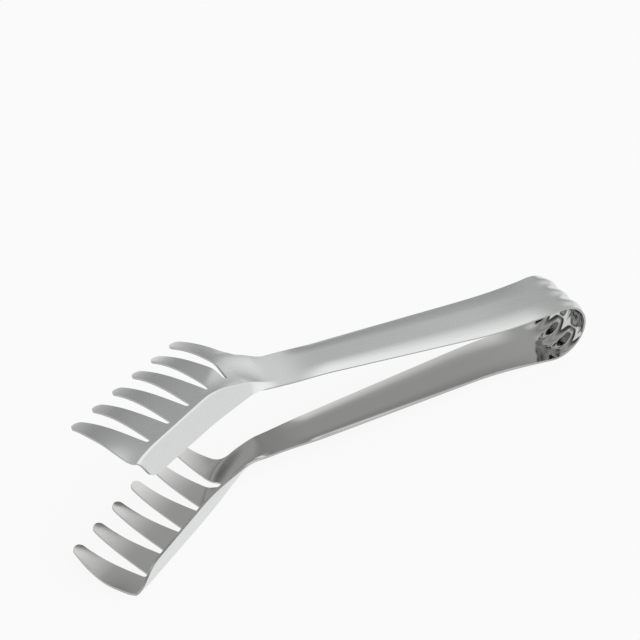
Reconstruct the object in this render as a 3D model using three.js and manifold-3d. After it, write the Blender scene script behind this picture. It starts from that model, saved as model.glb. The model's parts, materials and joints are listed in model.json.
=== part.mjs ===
// Spaghetti tongs: one strip of polished stainless steel, bent into a spring bow
// with two handles that end in cupped combs.
// Millimetres, +Z up. The bow points to +X, the combs to -X and the tine tips to +Y.
import * as THREE from 'three';
import { mergeVertices } from 'three/addons/utils/BufferGeometryUtils.js';
import Module from 'manifold-3d';

const { degToRad, lerp, smoothstep } = THREE.MathUtils;

// Sheet
const sheetThickness = 0.8;

// Spring bow, measured on the middle of the sheet
const bowRadius = 10.9;
const bowWidth = 21;
const bowOverbend = degToRad(10);
const lobeCount = 3;
const lobeHeight = 0.9;
const lobeFade = degToRad(45);

// Handles: a strip that narrows to the neck, arched across to a flat crest,
// and leaning so that the arms open a little more on the side of the tips
const armOpening = degToRad(4);
const handleLean = degToRad(4.5);
const neckLean = degToRad(11);
const handleOffset = 7.7;
const neckReach = 112;
const neckWidth = 13;
const archHeight = 0.9;
const crestWidth = 6;
const archEnd = 107;
const archFade = 14;

// Combs: the spine turns off the handle and carries a bent flange and the tines
const spineAngle = degToRad(29.4);
const spineReach = 123;
const turnRadius = 20;
const riseNear = 38;
const riseFar = 18;
const riseBlend = 12;
const combHeight = 8;
const flangeDropRear = 3.4;
const flangeDropFront = 1.4;
const flangeInset = 3.2;
const creaseWidth = 2.2;
const creaseSoft = 0.8;
const clawLength = 11;
const clawDrop = 1.8;
const clawFade = 14;
const planCorner = 6.5;

// Tines, counted from the handle
const tineCount = 6;
const tinePitch = 10.95;
const firstTine = 4.8;
const tineLength = 25.6;
const tineGrowth = 0.12;
const tineLean = 1.9;
const tineWaist = 0.15;
const tipWidth = 4.2;
const slotWidth = 1.9;
const slotEnd = 0.9;
const rootSlope = -0.04;
const tipSlope = 0.42;
const tipDrop = 3.6;
const firstTineHalf = 4.9;
const lastTineHalf = 4.6;
const lastTineBulge = 0.9;
const neckFillet = 3.8;

// Lean of the tongs when they lie on a table
const restLean = degToRad(0.1);

// Facets
const bowSteps = 40;
const bowAcross = 24;
const handleSteps = 26;
const handleAcross = 8;
const combSteps = 40;
const bendAcross = 7;
const spreadAcross = 12;
const arcSteps = 12;

const steel = { color: 0xc9ccd0, roughness: 0.22, metalness: 1 };

// Sizes that follow from the ones above
const turnTangent = turnRadius * Math.tan(spineAngle / 2);
const turnStart = spineReach - turnTangent;
const turnLength = turnRadius * spineAngle;
const slotRadius = slotWidth / 2;
const rootHalf = tinePitch / 2 - slotRadius;
const rootLine = slotEnd + slotRadius;
const tipRadius = tipWidth / 2;
const longestTine = tineLength + (tineCount - 1) * tineGrowth;
const spineEnd = firstTine + (tineCount - 1) * tinePitch + lastTineHalf;
const combReach = turnStart + turnLength - turnTangent + spineEnd;
const foldSoft = creaseSoft / combHeight;
const cutMargin = 4;
const pinchStart = bowRadius * Math.sin(bowOverbend);
const pinchRise = bowRadius * Math.cos(bowOverbend) - handleOffset;
const pinchReach = pinchStart + 2 * pinchRise / Math.tan(bowOverbend);

const wasm = await Module();
wasm.setup();

function toManifold(geometry) {
  const bare = geometry.clone();
  bare.deleteAttribute('normal');
  bare.deleteAttribute('uv');
  const merged = mergeVertices(bare, 1e-4);
  return new wasm.Manifold(new wasm.Mesh({
    numProp: 3,
    vertProperties: Float32Array.from(merged.attributes.position.array),
    triVerts: Uint32Array.from(merged.index.array),
  }));
}

function toGeometry(manifold) {
  const mesh = manifold.getMesh();
  const geometry = new THREE.BufferGeometry();
  geometry.setAttribute('position', new THREE.BufferAttribute(mesh.vertProperties, 3));
  geometry.setIndex(new THREE.BufferAttribute(mesh.triVerts, 1));
  geometry.computeVertexNormals();
  return geometry;
}

function toMesh(name, manifold) {
  const mesh = new THREE.Mesh(toGeometry(manifold), new THREE.MeshStandardMaterial(steel));
  mesh.name = name;
  return mesh;
}

// A flat block bent onto a surface: pointAt(along, across) is the middle of the sheet
function bentSheet(pointAt, start, end, steps, acrossSteps) {
  const block = new THREE.BoxGeometry(1, 1, 1, steps, acrossSteps, 1);
  const position = block.attributes.position;
  const nudge = 1e-4;
  for (let i = 0; i < position.count; i += 1) {
    const along = lerp(start, end, position.getX(i) + 0.5);
    const across = position.getY(i) + 0.5;
    const ahead = pointAt(along + nudge, across).sub(pointAt(along - nudge, across));
    const aside = pointAt(along, across + nudge).sub(pointAt(along, across - nudge));
    const normal = ahead.cross(aside).normalize();
    const point = pointAt(along, across);
    point.addScaledVector(normal, position.getZ(i) * sheetThickness);
    position.setXYZ(i, point.x, point.y, point.z);
  }
  return toManifold(block);
}

// Spring bow: angle 0 points straight back, positive angles lead to the upper arm
const bowEnd = Math.PI / 2 + bowOverbend - armOpening;

function bowPoint(angle, across) {
  const y = (across - 0.5) * bowWidth;
  const fade = smoothstep(bowEnd - Math.abs(angle), 0, lobeFade);
  const lobe = (1 - Math.cos(2 * Math.PI * lobeCount * across)) / 2;
  const radius = bowRadius + lobeHeight * lobe * fade;
  return new THREE.Vector3(radius * Math.cos(angle), y, radius * Math.sin(angle));
}

// Handle, in the frame of its own arm: the bow axis is the origin
function widthAt(reach) {
  return lerp(bowWidth, neckWidth, (reach - pinchStart) / (neckReach - pinchStart));
}

function handlePoint(reach, across) {
  const width = widthAt(reach);
  const y = (across - 0.5) * width;
  const pinch = Math.max(0, pinchReach - reach) / (pinchReach - pinchStart);
  const fadeIn = smoothstep(reach, pinchStart, pinchStart + archFade);
  const fadeOut = 1 - smoothstep(reach, archEnd - archFade, archEnd);
  const flank = Math.max(0, 2 * Math.abs(y) - crestWidth) / (width - crestWidth);
  const arch = archHeight * fadeIn * fadeOut * (1 - flank ** 2);
  const turnIn = lerp(handleLean, neckLean, smoothstep(reach, archEnd - archFade, neckReach));
  const lean = y * Math.tan(turnIn) * smoothstep(reach, pinchStart, pinchReach);
  return new THREE.Vector3(-reach, y, handleOffset + pinchRise * pinch ** 2 + arch + lean);
}

// Comb: sections set square to a path that leaves the handle and turns along the spine
function pathPoint(reach, side) {
  const turn = THREE.MathUtils.clamp((reach - turnStart) / turnRadius, 0, spineAngle);
  const straight = Math.min(reach, turnStart);
  const beyond = Math.max(0, reach - turnStart - turnLength);
  const x = -straight - (turnRadius + side) * Math.sin(turn) - beyond * Math.cos(turn);
  const y = (turnRadius + side) * Math.cos(turn) - turnRadius - beyond * Math.sin(turn);
  return new THREE.Vector3(x, y, handleOffset);
}

// A straight slope that starts softly
function softened(distance, soft) {
  return distance ** 2 / (distance + soft);
}

// Height of a tine over the crease: it climbs from its root and bows down to its tip
function tineRise(run) {
  const share = run / tineLength;
  const climb = rootSlope * softened(run, creaseSoft) * (1 - share) ** 2;
  const curl = tipSlope * run * share * (1 - share);
  return climb + curl - tipDrop * share ** 2 * (3 - 2 * share);
}

// The near side rises from the neck more slowly than the tines do
function grownAt(reach, run) {
  const riseLength = lerp(riseNear, riseFar, smoothstep(run, 0, riseBlend));
  return smoothstep(reach, neckReach, neckReach + riseLength);
}

function combPoint(reach, across) {
  const folded = grownAt(reach, 0);
  const drop = lerp(flangeDropRear, flangeDropFront, (reach - neckReach) / (combReach - neckReach));
  const claw = Math.max(0, reach - (combReach - clawLength)) / clawLength;
  const wall = (combHeight + drop) * folded * Math.max(0, 1 - claw ** 2);
  const near = -lerp(neckWidth / 2, flangeInset, folded);
  const bendShare = bendAcross / (bendAcross + spreadAcross);
  const fold = Math.max(0, 1 - across / bendShare);
  const spread = Math.max(0, across - bendShare) / (1 - bendShare);
  const run = spread * (longestTine + cutMargin - near - creaseWidth);
  const side = near + creaseWidth * (1 - fold) + run;
  const grown = grownAt(reach, run);
  const point = pathPoint(reach, side);
  point.z += grown * (combHeight + tineRise(run));
  point.z -= clawDrop * claw ** 2 * (1 - smoothstep(run, 0, clawFade));
  point.z -= wall * (1 + foldSoft) * softened(fold, foldSoft);
  point.z += (1 - grown) * side * Math.tan(neckLean);
  return point;
}

// Plan outlines of the comb, in spine distances: along from the handle, out to the tips
function spinePoint(along, out) {
  return new THREE.Vector2(
    -spineReach - along * Math.cos(spineAngle) - out * Math.sin(spineAngle),
    -along * Math.sin(spineAngle) + out * Math.cos(spineAngle),
  );
}

function tineOutline(index) {
  const middle = firstTine + index * tinePitch;
  const length = longestTine - index * tineGrowth;
  const handleHalf = index === 0 ? firstTineHalf : rootHalf;
  const freeHalf = index === tineCount - 1 ? lastTineHalf : rootHalf;
  const tip = spinePoint(middle - tineLean, length - tipRadius);
  const heading = tip.clone().sub(spinePoint(middle, rootLine)).angle();
  const side = new THREE.Vector2(0, -1).rotateAround(new THREE.Vector2(), heading);
  return {
    handleRoot: spinePoint(middle - handleHalf, rootLine),
    freeRoot: spinePoint(middle + freeHalf, rootLine),
    handleTip: tip.clone().addScaledVector(side, tipRadius),
    freeTip: tip.clone().addScaledVector(side, -tipRadius),
    tip,
    heading,
    side,
  };
}

// A side of a tine that is hollowed by a waist: the control point of its curve
function waistPoint(from, to, inward, waist) {
  return from.clone().lerp(to, 0.5).addScaledVector(inward, 2 * waist);
}

// The handle's far edge bends into the outer edge of the first tine
function neckBend() {
  const { handleRoot, handleTip } = tineOutline(0);
  const edge = handleTip.clone().sub(handleRoot);
  const share = (neckWidth / 2 - handleRoot.y) / edge.y;
  const corner = handleRoot.clone().addScaledVector(edge, share);
  const start = corner.clone().add(new THREE.Vector2(neckFillet, 0));
  const end = corner.clone().addScaledVector(edge.normalize(), neckFillet);
  return { start, corner, end };
}

function tineShape(index) {
  const { handleRoot, freeRoot, handleTip, freeTip, tip, heading, side } = tineOutline(index);
  const start = index === 0 ? neckBend().end : handleRoot;
  const freeHollow = index === tineCount - 1 ? -lastTineBulge : tineWaist;
  const handleWaist = waistPoint(start, handleTip, side.clone().negate(), tineWaist);
  const freeWaist = waistPoint(freeTip, freeRoot, side, freeHollow);
  const shape = new THREE.Shape();
  shape.moveTo(start.x, start.y);
  shape.quadraticCurveTo(handleWaist.x, handleWaist.y, handleTip.x, handleTip.y);
  shape.absarc(tip.x, tip.y, tipRadius, heading - Math.PI / 2, heading + Math.PI / 2, false);
  shape.quadraticCurveTo(freeWaist.x, freeWaist.y, freeRoot.x, freeRoot.y);
  shape.closePath();
  return shape;
}

function backShape() {
  const bend = neckBend();
  const endCorner = spinePoint(spineEnd, -flangeInset - sheetThickness);
  const endBack = spinePoint(spineEnd - planCorner, -flangeInset - sheetThickness);
  const behind = spinePoint(spineEnd - planCorner, -neckWidth);
  const shape = new THREE.Shape();
  shape.moveTo(-neckReach, -neckWidth);
  shape.lineTo(-neckReach, neckWidth / 2);
  shape.lineTo(bend.start.x, bend.start.y);
  shape.quadraticCurveTo(bend.corner.x, bend.corner.y, bend.end.x, bend.end.y);
  for (let i = 0; i < tineCount; i += 1) {
    const { freeRoot } = tineOutline(i);
    shape.lineTo(freeRoot.x, freeRoot.y);
    if (i < tineCount - 1) {
      const slot = spinePoint(firstTine + (i + 0.5) * tinePitch, rootLine);
      shape.absarc(slot.x, slot.y, slotRadius, spineAngle, spineAngle - Math.PI, true);
    }
  }
  shape.quadraticCurveTo(endCorner.x, endCorner.y, endBack.x, endBack.y);
  shape.lineTo(behind.x, behind.y);
  shape.closePath();
  return shape;
}

function prism(shape) {
  const height = 4 * (combHeight + flangeDropRear);
  const solid = new THREE.ExtrudeGeometry(shape, {
    depth: height,
    bevelEnabled: false,
    curveSegments: arcSteps,
  });
  solid.translate(0, 0, handleOffset - height / 2);
  return toManifold(solid);
}

const handle = bentSheet(handlePoint, pinchStart, neckReach, handleSteps, handleAcross);
const comb = bentSheet(
  combPoint, neckReach, combReach + cutMargin, combSteps, bendAcross + spreadAcross,
);
const bow = bentSheet(bowPoint, -bowEnd, bowEnd, bowSteps, bowAcross);

const armPieces = [['handle', handle], ['comb_back', comb.intersect(prism(backShape()))]];
for (let i = 0; i < tineCount; i += 1) {
  armPieces.push([`tine_${i + 1}`, comb.intersect(prism(tineShape(i)))]);
}

// The arms mirror each other across the middle plane of the bow
const upperArm = new THREE.Group();
upperArm.name = 'upper_arm';
upperArm.rotation.y = armOpening;
const lowerArm = new THREE.Group();
lowerArm.name = 'lower_arm';
lowerArm.rotation.y = -armOpening;
for (const [name, solid] of armPieces) {
  upperArm.add(toMesh(`upper_${name}`, solid));
  lowerArm.add(toMesh(`lower_${name}`, solid.mirror([0, 0, 1])));
}

const tongs = new THREE.Group();
tongs.name = 'spaghetti_tongs';
const springBow = toMesh('spring_bow', bow);
tongs.add(lowerArm, springBow, upperArm);

// Laid down on the bow and the belly of the lower comb, centred over the origin
const settleSteps = 6;
tongs.rotation.x = restLean;
for (let i = 0; i < settleSteps; i += 1) {
  tongs.updateMatrixWorld(true);
  const bowFoot = new THREE.Box3().setFromObject(springBow, true).min.z;
  const combFoot = new THREE.Box3().setFromObject(lowerArm, true).min.z;
  tongs.rotation.y += Math.asin((bowFoot - combFoot) / combReach);
}
tongs.updateMatrixWorld(true);
const bounds = new THREE.Box3().setFromObject(tongs, true);
const middle = bounds.getCenter(new THREE.Vector3());
tongs.position.set(-middle.x, -middle.y, -bounds.min.z);
tongs.updateMatrixWorld(true);

export default tongs;
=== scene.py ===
import json
import math
import bmesh
import bpy
from mathutils import Matrix, Vector


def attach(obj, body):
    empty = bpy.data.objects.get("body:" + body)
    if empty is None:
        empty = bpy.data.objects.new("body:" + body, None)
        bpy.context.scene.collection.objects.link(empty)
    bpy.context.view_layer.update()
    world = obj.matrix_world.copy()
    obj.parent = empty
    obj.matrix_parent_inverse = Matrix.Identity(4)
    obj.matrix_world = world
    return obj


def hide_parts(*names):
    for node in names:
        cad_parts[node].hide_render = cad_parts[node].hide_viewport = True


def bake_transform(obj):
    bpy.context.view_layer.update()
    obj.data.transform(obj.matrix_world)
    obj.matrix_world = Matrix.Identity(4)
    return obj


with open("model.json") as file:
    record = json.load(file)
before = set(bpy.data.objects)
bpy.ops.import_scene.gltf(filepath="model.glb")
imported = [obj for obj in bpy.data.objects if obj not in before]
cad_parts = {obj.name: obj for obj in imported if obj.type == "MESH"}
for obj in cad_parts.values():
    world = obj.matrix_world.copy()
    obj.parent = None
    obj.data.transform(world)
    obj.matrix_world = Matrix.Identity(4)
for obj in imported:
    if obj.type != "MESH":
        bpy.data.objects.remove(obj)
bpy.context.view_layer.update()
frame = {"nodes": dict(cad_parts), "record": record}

print("frame loaded:", len(frame["nodes"]), "nodes")

# Everything is modelled in mm, with the bow axis as the origin and the arms' mirror plane at z = 0,
# then laid down on the table and made metres
mm = 0.001

sheet = {
    "thickness": 0.76,    # a hair under the CAD's 0.8, to stay inside its box
    "cell": 0.6,          # mesh size on the sheet
    "rimStrip": 0.35,     # clean strip of faces along every cut edge
    "edgeRound": 0.16,    # tumbled edge
    "edgeSegments": 2,
}

bow = {
    "radius": 10.9,       # to the middle of the sheet
    "width": 21.0,
    "overbend": math.radians(10),
    "lobes": 3,
    "lobeHeight": 0.9,
    "lobeFade": math.radians(45),
}

handle = {
    "opening": math.radians(4),
    "lean": math.radians(4.5),
    "neckLean": math.radians(11),
    "offset": 7.7,
    "neckReach": 112.0,
    "neckWidth": 13.0,
    "archHeight": 0.9,
    "crestWidth": 6.0,    # flat crest of the arch
    "archEnd": 107.0,
    "archFade": 14.0,
}

comb = {
    "spineAngle": math.radians(29.4),
    "spineReach": 123.0,
    "turnRadius": 20.0,
    "riseNear": 38.0,     # the near side rises more slowly than the tines do
    "riseFar": 18.0,
    "riseBlend": 12.0,
    "height": 8.0,
    "dropRear": 3.4,
    "dropFront": 1.4,
    "inset": 3.2,
    "crease": 2.2,
    "creaseSoft": 0.8,    # rounds the fold between tines and flange
    "flangeStrip": 10.0,  # width of the flange on the flat blank
    "clawLength": 11.0,
    "clawDrop": 1.8,
    "clawFade": 14.0,
    "planCorner": 6.5,
}

tines = {
    "count": 6,
    "pitch": 10.95,
    "first": 4.8,
    "length": 25.45,
    "growth": 0.12,
    "lean": 1.9,
    "waist": 0.15,
    "tipWidth": 4.2,
    "slotWidth": 1.9,
    "slotEnd": 0.9,
    "rootSlope": -0.04,
    "tipSlope": 0.42,
    "tipDrop": 3.6,
    "firstHalf": 4.9,
    "lastHalf": 4.6,
    "lastBulge": 0.9,
    "neckFillet": 3.8,
    "arcSteps": 12,
}

restLean = math.radians(0.1)

# What follows from those sizes
bowEnd = math.pi / 2 + bow["overbend"] - handle["opening"]
bowHalf = bow["radius"] * bowEnd
pinchStart = bow["radius"] * math.sin(bow["overbend"])
pinchRise = bow["radius"] * math.cos(bow["overbend"]) - handle["offset"]
pinchReach = pinchStart + 2 * pinchRise / math.tan(bow["overbend"])
turnTangent = comb["turnRadius"] * math.tan(comb["spineAngle"] / 2)
turnStart = comb["spineReach"] - turnTangent
turnLength = comb["turnRadius"] * comb["spineAngle"]
slotRadius = tines["slotWidth"] / 2
rootHalf = tines["pitch"] / 2 - slotRadius
rootLine = tines["slotEnd"] + slotRadius
tipRadius = tines["tipWidth"] / 2
longestTine = tines["length"] + (tines["count"] - 1) * tines["growth"]
spineEnd = tines["first"] + (tines["count"] - 1) * tines["pitch"] + tines["lastHalf"]
combReach = turnStart + turnLength - turnTangent + spineEnd
foldSoft = comb["creaseSoft"] / comb["height"]


def mix(a, b, share):
    return a + (b - a) * share


def ease(value, start, end):
    share = min(1, max(0, (value - start) / (end - start)))
    return share * share * (3 - 2 * share)


# The flat blank: run is measured along the strip from the middle of the bow, and across
# from the crease, with the flange on the minus side
def widthAt(reach):
    share = (reach - pinchStart) / (handle["neckReach"] - pinchStart)
    return mix(bow["width"], handle["neckWidth"], min(1, max(0, share)))


def grownAt(reach, across=0):
    rise = mix(comb["riseNear"], comb["riseFar"], ease(across, 0, comb["riseBlend"]))
    return ease(reach, handle["neckReach"], handle["neckReach"] + rise)


def nearEdge(reach):
    if reach < handle["neckReach"]:
        return -widthAt(reach) / 2
    return -mix(handle["neckWidth"] / 2, comb["inset"], grownAt(reach))


def sideAt(reach, across):
    if across >= 0:
        return nearEdge(reach) + comb["crease"] + across
    return nearEdge(reach) + comb["crease"] * (1 + across / comb["flangeStrip"])


def pathPoint(reach, side):
    turn = min(comb["spineAngle"], max(0, (reach - turnStart) / comb["turnRadius"]))
    straight = min(reach, turnStart)
    beyond = max(0, reach - turnStart - turnLength)
    radius = comb["turnRadius"] + side
    x = -straight - radius * math.sin(turn) - beyond * math.cos(turn)
    y = radius * math.cos(turn) - comb["turnRadius"] - beyond * math.sin(turn)
    return x, y


def pressBow(angle, side):
    fade = ease(bowEnd - angle, 0, bow["lobeFade"])
    lobe = (1 - math.cos(2 * math.pi * bow["lobes"] * (side / bow["width"] + 0.5))) / 2
    radius = bow["radius"] + bow["lobeHeight"] * lobe * fade
    return Vector((radius * math.cos(angle), side, radius * math.sin(angle)))


def pressHandle(reach, side):
    pinch = max(0, pinchReach - reach) / (pinchReach - pinchStart)
    width = widthAt(reach)
    fadeIn = ease(reach, pinchStart, pinchStart + handle["archFade"])
    fadeOut = 1 - ease(reach, handle["archEnd"] - handle["archFade"], handle["archEnd"])
    flank = max(0, 2 * abs(side) - handle["crestWidth"]) / (width - handle["crestWidth"])
    arch = handle["archHeight"] * fadeIn * fadeOut * (1 - flank ** 2)
    turnIn = mix(handle["lean"], handle["neckLean"],
                 ease(reach, handle["archEnd"] - handle["archFade"], handle["neckReach"]))
    lean = side * math.tan(turnIn) * ease(reach, pinchStart, pinchReach)
    return Vector((-reach, side, handle["offset"] + pinchRise * pinch ** 2 + arch + lean))


def softened(distance, soft):
    return distance * distance / (distance + soft)


def tineRise(run):
    share = run / tines["length"]
    climb = tines["rootSlope"] * softened(run, comb["creaseSoft"]) * (1 - share) ** 2
    curl = tines["tipSlope"] * run * share * (1 - share)
    return climb + curl - tines["tipDrop"] * share ** 2 * (3 - 2 * share)


def pressComb(reach, side, across):
    grown = grownAt(reach, across)
    share = (reach - handle["neckReach"]) / (combReach - handle["neckReach"])
    drop = mix(comb["dropRear"], comb["dropFront"], share)
    claw = max(0, reach - (combReach - comb["clawLength"])) / comb["clawLength"]
    wall = (comb["height"] + drop) * grownAt(reach) * max(0, 1 - claw ** 2)
    fold = max(0, -across / comb["flangeStrip"])
    x, y = pathPoint(reach, side)
    z = handle["offset"] + grown * (comb["height"] + tineRise(max(0, across)))
    z -= comb["clawDrop"] * claw ** 2 * (1 - ease(across, 0, comb["clawFade"]))
    z -= wall * (1 + foldSoft) * softened(fold, foldSoft)
    return Vector((x, y, z + (1 - grown) * side * math.tan(handle["neckLean"])))


openArm = Matrix.Rotation(handle["opening"], 4, "Y")


def pressed(run, across):
    if run < bowHalf:
        return pressBow(run / bow["radius"], sideAt(0, across))
    reach = pinchStart + run - bowHalf
    side = sideAt(reach, across)
    if reach < handle["neckReach"]:
        return openArm @ pressHandle(reach, side)
    return openArm @ pressComb(reach, side, across)


# Outline of the blank, drawn in plan and unrolled along the strip
def spinePoint(along, out):
    angle = comb["spineAngle"]
    return Vector((-comb["spineReach"] - along * math.cos(angle) - out * math.sin(angle),
                   -along * math.sin(angle) + out * math.cos(angle)))


def unrolled(point):
    centre = Vector((-turnStart, -comb["turnRadius"]))
    arm = point - centre
    turn = math.atan2(-arm.x, arm.y)
    if turn <= 0:
        reach, side = -point.x, point.y
    elif turn < comb["spineAngle"]:
        reach, side = turnStart + comb["turnRadius"] * turn, arm.length - comb["turnRadius"]
    else:
        angle = comb["spineAngle"]
        reach = turnStart + turnLength - arm.x * math.cos(angle) - arm.y * math.sin(angle)
        side = arm.y * math.cos(angle) - arm.x * math.sin(angle) - comb["turnRadius"]
    across = side - nearEdge(reach) - comb["crease"]
    if across < 0:
        across *= comb["flangeStrip"] / comb["crease"]
    return Vector((bowHalf + reach - pinchStart, across))


def bendPoints(start, control, end, steps):
    points = []
    for i in range(1, steps + 1):
        t = i / steps
        points.append(start * (1 - t) ** 2 + control * 2 * t * (1 - t) + end * t * t)
    return points


def arcPoints(centre, radius, start, end, steps):
    angles = [mix(start, end, i / steps) for i in range(1, steps + 1)]
    return [centre + Vector((radius * math.cos(a), radius * math.sin(a))) for a in angles]


def tinePlan(index):
    middle = tines["first"] + index * tines["pitch"]
    length = longestTine - index * tines["growth"]
    handleHalf = tines["firstHalf"] if index == 0 else rootHalf
    freeHalf = tines["lastHalf"] if index == tines["count"] - 1 else rootHalf
    tip = spinePoint(middle - tines["lean"], length - tipRadius)
    ahead = (tip - spinePoint(middle, rootLine)).normalized()
    aside = Vector((ahead.y, -ahead.x))     # towards the handle
    return {
        "handleRoot": spinePoint(middle - handleHalf, rootLine),
        "freeRoot": spinePoint(middle + freeHalf, rootLine),
        "handleTip": tip + aside * tipRadius,
        "freeTip": tip - aside * tipRadius,
        "tip": tip,
        "heading": math.atan2(ahead.y, ahead.x),
        "aside": aside,
    }


def neckBend():
    plan = tinePlan(0)
    edge = plan["handleTip"] - plan["handleRoot"]
    corner = plan["handleRoot"] + edge * ((handle["neckWidth"] / 2 - plan["handleRoot"].y) / edge.y)
    start = corner + Vector((tines["neckFillet"], 0))
    return start, corner, corner + edge.normalized() * tines["neckFillet"]


def blankOutline():
    steps = tines["arcSteps"]
    last = tines["count"] - 1
    nearEnd = spinePoint(spineEnd - comb["planCorner"], -comb["inset"])
    nearCorner = spinePoint(spineEnd, -comb["inset"])
    neckStart, neckCorner, neckEnd = neckBend()
    plan = [nearEnd] + bendPoints(nearEnd, nearCorner, tinePlan(last)["freeRoot"], steps)
    for index in range(last, -1, -1):
        tine = tinePlan(index)
        root = neckEnd if index == 0 else tine["handleRoot"]
        freeHollow = -tines["lastBulge"] if index == last else tines["waist"]
        freeWaist = (tine["freeRoot"] + tine["freeTip"]) / 2 + tine["aside"] * 2 * freeHollow
        handleWaist = (tine["handleTip"] + root) / 2 - tine["aside"] * 2 * tines["waist"]
        quarter = math.pi / 2
        plan += bendPoints(tine["freeRoot"], freeWaist, tine["freeTip"], steps)
        plan += arcPoints(tine["tip"], tipRadius, tine["heading"] + quarter,
                          tine["heading"] - quarter, steps)
        plan += bendPoints(tine["handleTip"], handleWaist, root, steps)
        if index > 0:
            slot = spinePoint(tines["first"] + (index - 0.5) * tines["pitch"], rootLine)
            start = comb["spineAngle"] + math.pi
            plan += arcPoints(slot, slotRadius, start, start + math.pi, steps)
    plan += bendPoints(neckEnd, neckCorner, neckStart, steps)
    outline = [unrolled(p) for p in plan]
    neckRun = bowHalf + handle["neckReach"] - pinchStart
    farNeck = handle["neckWidth"] - comb["crease"]
    farBow = bow["width"] - comb["crease"]
    outline += [Vector((neckRun, farNeck)), Vector((bowHalf, farBow)), Vector((0, farBow))]
    outline += [Vector((0, -comb["flangeStrip"]))]
    return outline


def cutBlank():
    bm = bmesh.new()
    outline = blankOutline()
    blank = bm.faces.new([bm.verts.new((p.x, p.y, 0)) for p in outline])
    bmesh.ops.inset_region(bm, faces=[blank], thickness=sheet["rimStrip"],
                           use_boundary=True, use_even_offset=True)
    longest = max(p.x for p in outline)
    widest = max(p.y for p in outline)
    cuts = [((bowHalf, 0, 0), (1, 0, 0)), ((0, 0, 0), (0, 1, 0))]
    cuts += [((i * sheet["cell"], 0, 0), (1, 0, 0)) for i in range(1, int(longest / sheet["cell"]) + 1)]
    rows = int((widest + comb["flangeStrip"]) / sheet["cell"])
    cuts += [((0, i * sheet["cell"] - comb["flangeStrip"], 0), (0, 1, 0)) for i in range(1, rows + 1)]
    for place, normal in cuts:
        bmesh.ops.bisect_plane(bm, geom=bm.verts[:] + bm.edges[:] + bm.faces[:], dist=0.002,
                               plane_co=place, plane_no=normal)
    return bm


faceKind = {"outer": 0, "inner": 1, "edge": 2}


# The blank is pressed to shape and gets its thickness
def pressSheet(bm):
    kind = bm.faces.layers.int.new("kind")
    grain = bm.loops.layers.uv.new("grain")
    outward = bm.verts.layers.float_vector.new("outward")
    nudge = 0.002
    for face in bm.faces:
        face[kind] = faceKind["inner"]
        for loop in face.loops:
            loop[grain].uv = loop.vert.co.xy * mm
    for vert in bm.verts:
        run, across = vert.co.x, vert.co.y
        ahead = pressed(run + nudge, across) - pressed(run - nudge, across)
        aside = pressed(run, across + nudge) - pressed(run, across - nudge)
        vert[outward] = aside.cross(ahead).normalized()
        vert.co = pressed(run, across) - vert[outward] * sheet["thickness"] / 2
    innerVerts = set(bm.verts)
    bmesh.ops.extrude_face_region(bm, geom=bm.faces[:], use_keep_orig=True)
    outerVerts = set(bm.verts) - innerVerts
    for vert in outerVerts:
        vert.co += vert[outward] * sheet["thickness"]
    for face in bm.faces:
        raised = sum(v in outerVerts for v in face.verts)
        if raised == len(face.verts):
            face[kind] = faceKind["outer"]
        elif raised:
            face[kind] = faceKind["edge"]


# The lower half mirrors the upper one, then every cut edge is rounded
def mirrorAndRound(bm):
    kind = bm.faces.layers.int["kind"]
    seam = [f for f in bm.faces if all(abs(v.co.z) < 0.001 for v in f.verts)]
    bmesh.ops.delete(bm, geom=seam, context="FACES_ONLY")
    bmesh.ops.mirror(bm, geom=bm.verts[:] + bm.edges[:] + bm.faces[:], axis="Z", merge_dist=0.005)
    bmesh.ops.recalc_face_normals(bm, faces=bm.faces[:])
    rims = []
    for edge in bm.edges:
        kinds = {f[kind] for f in edge.link_faces}
        if faceKind["edge"] in kinds and len(kinds) > 1:
            rims.append(edge)
    rounded = bmesh.ops.bevel(bm, geom=rims, offset=sheet["edgeRound"], offset_type="OFFSET",
                              segments=sheet["edgeSegments"], profile=0.5, affect="EDGES",
                              material=-1, clamp_overlap=False)
    for face in rounded["faces"]:
        face[kind] = faceKind["edge"]
    for face in bm.faces:
        face.smooth = True
        face.material_index = face[kind]


def pieceOf(point):
    if abs(math.atan2(point.z, point.x)) < bowEnd:
        return "spring_bow"
    return "upper_arm" if point.z > 0 else "lower_arm"


# The tongs lie on the bow and on the belly of the lower comb
def layDown(bm):
    feet = {"spring_bow": [], "lower_arm": [], "upper_arm": []}
    for vert in bm.verts:
        feet[pieceOf(vert.co)].append(vert.co.copy())
    pitch = 0
    for step in range(6):    # settles in a few steps
        lie = Matrix.Rotation(restLean, 3, "X") @ Matrix.Rotation(pitch, 3, "Y")
        bowFoot = min((lie @ p).z for p in feet["spring_bow"])
        combFoot = min((lie @ p).z for p in feet["lower_arm"])
        pitch += math.asin((bowFoot - combFoot) / combReach)
    points = [lie @ v.co for v in bm.verts]
    low = [min(p[i] for p in points) for i in range(3)]
    high = [max(p[i] for p in points) for i in range(3)]
    middle = Vector(((low[0] + high[0]) / 2, (low[1] + high[1]) / 2, low[2]))
    return Matrix.Scale(mm, 4) @ Matrix.Translation(-middle) @ lie.to_4x4()


tongs = cutBlank()
print("blank cut:", len(tongs.faces), "faces")
pressSheet(tongs)
mirrorAndRound(tongs)
print("sheet pressed, mirrored and rounded:", len(tongs.faces), "faces")
toTable = layDown(tongs)


# Shading normals come from the sheet's own faces, so the rounded edges stay crisp
# and the pieces shade as one strip across their seams
def shadeNormals(bm):
    kind = bm.faces.layers.int["kind"]
    shade = bm.verts.layers.float_vector.new("shade")
    bm.normal_update()
    for vert in bm.verts:
        faces = [f for f in vert.link_faces if f[kind] != faceKind["edge"]] or vert.link_faces
        vert[shade] = sum((f.normal * f.calc_area() for f in faces), Vector()).normalized()


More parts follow.
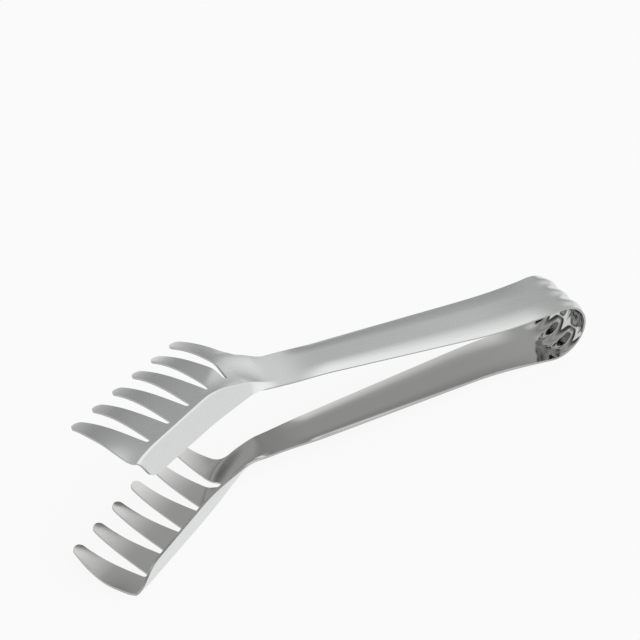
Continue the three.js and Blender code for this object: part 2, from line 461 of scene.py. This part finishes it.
def addPiece(region, materials):
    name = region + "_sheet"
    bm = tongs.copy()
    others = [f for f in bm.faces if pieceOf(f.calc_center_median()) != region]
    bmesh.ops.delete(bm, geom=others, context="FACES")
    openEdges = [e for e in bm.edges if e.is_boundary]
    bmesh.ops.holes_fill(bm, edges=openEdges, sides=0)
    bm.transform(toTable)
    bmesh.ops.recalc_face_normals(bm, faces=bm.faces[:])
    shade = bm.verts.layers.float_vector["shade"]
    turn = toTable.to_3x3().normalized()
    normals = [turn @ v[shade] for v in bm.verts]
    mesh = bpy.data.meshes.new(name)
    bm.to_mesh(mesh)
    bm.free()
    mesh.normals_split_custom_set_from_vertices(normals)
    for material in materials:
        mesh.materials.append(material)
    piece = bpy.data.objects.new(name, mesh)
    bpy.context.scene.collection.objects.link(piece)
    return piece


# Materials
def toLinear(hexColour):
    parts = [int(hexColour[i:i + 2], 16) / 255 for i in (1, 3, 5)]
    linear = [p / 12.92 if p <= 0.04045 else ((p + 0.055) / 1.055) ** 2.4 for p in parts]
    return (*linear, 1)


def addNode(tree, kind, values=None, links=None, **settings):
    node = tree.nodes.new(kind)
    for name, value in settings.items():
        setattr(node, name, value)
    for socket, value in (values or {}).items():
        node.inputs[socket].default_value = value
    for socket, source in (links or {}).items():
        tree.links.new(source, node.inputs[socket])
    return node


def newMaterial(name):
    material = bpy.data.materials.new(name)
    material.use_nodes = True
    tree = material.node_tree
    tree.nodes.clear()
    return material, tree


steel = {
    "satin": "#dcdddd",
    "bright": "#cbcbc9",
    "edge": "#b4b4b4",
    "satinRough": (0.2, 0.3),
    "brightRough": (0.07, 0.12),
    "edgeRough": 0.28,
    "grainWidth": 0.35,    # mm: real grain is ten times finer, and would not show
    "grainLength": 14.0,
    "rollWave": 9.0,       # mm between the faint waves that rolling and pressing leave
}


# Stainless strip, satin ground outside: fine streaks along the strip soften what it mirrors
def satinStainless():
    material, tree = newMaterial("satin_ground_stainless")
    uv = addNode(tree, "ShaderNodeUVMap", uv_map="grain")
    stretch = addNode(tree, "ShaderNodeMapping", {
        "Scale": (1 / (steel["grainLength"] * mm), 1 / (steel["grainWidth"] * mm), 1),
    }, {"Vector": uv.outputs["UV"]})
    streaks = addNode(tree, "ShaderNodeTexNoise", {"Scale": 1.0, "Detail": 3.0, "Roughness": 0.6},
                      {"Vector": stretch.outputs["Vector"]})
    rough = addNode(tree, "ShaderNodeMapRange", {
        "From Min": 0.3, "From Max": 0.7,
        "To Min": steel["satinRough"][0], "To Max": steel["satinRough"][1],
    }, {"Value": streaks.outputs["Fac"]})
    bump = addNode(tree, "ShaderNodeBump", {"Strength": 0.04, "Distance": 0.02 * mm},
                   {"Height": streaks.outputs["Fac"]})
    shader = addNode(tree, "ShaderNodeBsdfPrincipled",
                     {"Base Color": toLinear(steel["satin"]), "Metallic": 1.0},
                     {"Roughness": rough.outputs["Result"], "Normal": bump.outputs["Normal"]})
    addNode(tree, "ShaderNodeOutputMaterial", links={"Surface": shader.outputs["BSDF"]})
    return material


# The same strip, bright rolled inside: nearly a mirror, with the slow waves of rolling
def brightStainless():
    material, tree = newMaterial("bright_rolled_stainless")
    place = addNode(tree, "ShaderNodeTexCoord")
    waves = addNode(tree, "ShaderNodeTexNoise",
                    {"Scale": 1 / (steel["rollWave"] * mm), "Detail": 1.0, "Roughness": 0.4},
                    {"Vector": place.outputs["Object"]})
    rough = addNode(tree, "ShaderNodeMapRange", {
        "From Min": 0.3, "From Max": 0.7,
        "To Min": steel["brightRough"][0], "To Max": steel["brightRough"][1],
    }, {"Value": waves.outputs["Fac"]})
    bump = addNode(tree, "ShaderNodeBump", {"Strength": 0.1, "Distance": 0.1 * mm},
                   {"Height": waves.outputs["Fac"]})
    shader = addNode(tree, "ShaderNodeBsdfPrincipled",
                     {"Base Color": toLinear(steel["bright"]), "Metallic": 1.0},
                     {"Roughness": rough.outputs["Result"], "Normal": bump.outputs["Normal"]})
    addNode(tree, "ShaderNodeOutputMaterial", links={"Surface": shader.outputs["BSDF"]})
    return material


# Sheared and tumbled edges: bright and a little frosted
def cutEdgeStainless():
    material, tree = newMaterial("tumbled_edge_stainless")
    place = addNode(tree, "ShaderNodeTexCoord")
    frost = addNode(tree, "ShaderNodeTexNoise", {"Scale": 1 / (0.6 * mm), "Detail": 2.0},
                    {"Vector": place.outputs["Object"]})
    bump = addNode(tree, "ShaderNodeBump", {"Strength": 0.15, "Distance": 0.02 * mm},
                   {"Height": frost.outputs["Fac"]})
    shader = addNode(tree, "ShaderNodeBsdfPrincipled",
                     {"Base Color": toLinear(steel["edge"]), "Metallic": 1.0,
                      "Roughness": steel["edgeRough"]},
                     {"Normal": bump.outputs["Normal"]})
    addNode(tree, "ShaderNodeOutputMaterial", links={"Surface": shader.outputs["BSDF"]})
    return material


shadeNormals(tongs)
finishes = [satinStainless(), brightStainless(), cutEdgeStainless()]
upperArm = addPiece("upper_arm", finishes)
lowerArm = addPiece("lower_arm", finishes)
springBow = addPiece("spring_bow", finishes)
for piece, body in ((upperArm, "upper_arm"), (lowerArm, "lower_arm")):
    nodes = [n for n in frame["record"]["behaviour"]["bodies"][body] if n != "spring_bow"]
    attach(piece, body)
    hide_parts(*nodes)

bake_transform(springBow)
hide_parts("spring_bow")
print("pieces made:", [p.name for p in (upperArm, lowerArm, springBow)])

# Camera: where the photograph was taken from, seen from the bow axis
photo = {
    "imageSize": 640,                # pixels
    "bowPixel": (541.9, 318.3),      # where the bow axis shows
    "azimuth": math.radians(34.3),
    "elevation": math.radians(36.4),
    "roll": math.radians(4.8),
    "distance": 650.0,
    "lens": 103.4,
    "sensor": 36.0,
}


def addCamera():
    azimuth, elevation = photo["azimuth"], photo["elevation"]
    ahead = Vector((math.sin(azimuth) * math.cos(elevation),
                    math.cos(azimuth) * math.cos(elevation), -math.sin(elevation)))
    level = Vector((math.cos(azimuth), -math.sin(azimuth), 0))
    upright = level.cross(ahead)
    right = level * math.cos(photo["roll"]) + upright * math.sin(photo["roll"])
    up = upright * math.cos(photo["roll"]) - level * math.sin(photo["roll"])
    pixel = photo["distance"] * photo["sensor"] / (photo["lens"] * photo["imageSize"])
    offRight = (photo["bowPixel"][0] - photo["imageSize"] / 2) * pixel
    offDown = (photo["bowPixel"][1] - photo["imageSize"] / 2) * pixel
    eye = -ahead * photo["distance"] - right * offRight + up * offDown
    turn = toTable.to_3x3().normalized()
    axes = [turn @ right, turn @ up, -(turn @ ahead)]
    data = bpy.data.cameras.new("photo_camera")
    data.lens = photo["lens"]
    data.sensor_width = photo["sensor"]
    data.clip_start = 0.01
    camera = bpy.data.objects.new("photo_camera", data)
    camera.matrix_world = Matrix.Translation(toTable @ eye) @ Matrix(axes).transposed().to_4x4()
    bpy.context.scene.collection.objects.link(camera)
    bpy.context.scene.camera = camera


addCamera()

# Studio: a pale floor under a soft dome, bright over the right of the camera and dark at the far left
studio = {
    "floor": "#f2f2f2",
    "floorHalf": 60.0,       # metres, so that low views end on it
    "floorWhite": 0.88,      # share of plain white that camera and metal see; the rest keeps the shadow
    "horizon": 0.94,         # the dome is pale where it meets the floor
    "brightFrom": (0.62, -0.55, 0.56),
    "dome": (                # share of the way round to brightFrom, and light level there
        (0.0, 0.05), (0.2, 0.07), (0.32, 0.44), (0.4, 0.46), (0.455, 0.32),
        (0.57, 0.42), (0.68, 0.49), (0.76, 0.77), (0.86, 1.1), (1.0, 1.17),
    ),
}


def floorMaterial():
    material, tree = newMaterial("pale_floor")
    diffuse = addNode(tree, "ShaderNodeBsdfDiffuse", {"Color": toLinear(studio["floor"])})
    white = addNode(tree, "ShaderNodeEmission", {"Color": (1, 1, 1, 1), "Strength": 1.0})
    path = addNode(tree, "ShaderNodeLightPath")
    mirrored = addNode(tree, "ShaderNodeMath", links={0: path.outputs["Is Glossy Ray"],
                       1: path.outputs["Is Transmission Ray"]}, operation="MAXIMUM")
    seen = addNode(tree, "ShaderNodeMath", links={0: path.outputs["Is Camera Ray"],
                   1: mirrored.outputs[0]}, operation="MAXIMUM")
    share = addNode(tree, "ShaderNodeMath", {1: studio["floorWhite"]},
                    {0: seen.outputs[0]}, operation="MULTIPLY")
    blend = addNode(tree, "ShaderNodeMixShader", links={0: share.outputs[0]})
    tree.links.new(diffuse.outputs[0], blend.inputs[1])
    tree.links.new(white.outputs[0], blend.inputs[2])
    addNode(tree, "ShaderNodeOutputMaterial", links={"Surface": blend.outputs[0]})
    return material


def addFloor():
    half = studio["floorHalf"]
    plan = ((-half, -half), (half, -half), (half, half), (-half, half))
    corners = [(x, y, -0.0003) for x, y in plan]    # a hair below the tongs
    mesh = bpy.data.meshes.new("floor")
    mesh.from_pydata(corners, [], [range(len(corners))])
    mesh.materials.append(floorMaterial())
    floor = bpy.data.objects.new("floor", mesh)
    bpy.context.scene.collection.objects.link(floor)


def addDome():
    world = bpy.data.worlds.new("soft_dome")
    bpy.context.scene.world = world
    world.use_nodes = True
    tree = world.node_tree
    tree.nodes.clear()
    place = addNode(tree, "ShaderNodeTexCoord")
    facing = addNode(tree, "ShaderNodeVectorMath", {1: studio["brightFrom"]},
                     {0: place.outputs["Generated"]}, operation="DOT_PRODUCT")
    share = addNode(tree, "ShaderNodeMapRange", {"From Min": -1.0, "From Max": 1.0},
                    {"Value": facing.outputs["Value"]})
    ramp = addNode(tree, "ShaderNodeValToRGB", links={"Fac": share.outputs["Result"]})
    stops = ramp.color_ramp.elements
    while len(stops) < len(studio["dome"]):
        stops.new(0.5)
    for stop, (position, level) in zip(stops, studio["dome"]):
        stop.position = position
        stop.color = (level, level, level, 1)
    height = addNode(tree, "ShaderNodeSeparateXYZ", links={"Vector": place.outputs["Generated"]})
    above = addNode(tree, "ShaderNodeMapRange", {"From Min": 0.03, "From Max": 0.09},
                    {"Value": height.outputs["Z"]})
    pale = (studio["horizon"], studio["horizon"], studio["horizon"], 1)
    blend = addNode(tree, "ShaderNodeMix", {6: pale},
                    {0: above.outputs["Result"], 7: ramp.outputs["Color"]}, data_type="RGBA")
    background = addNode(tree, "ShaderNodeBackground", {"Strength": 1.0}, {"Color": blend.outputs[2]})
    addNode(tree, "ShaderNodeOutputWorld", links={"Surface": background.outputs["Background"]})


addFloor()
addDome()
bpy.context.scene.view_settings.view_transform = "Standard"
print("studio set")
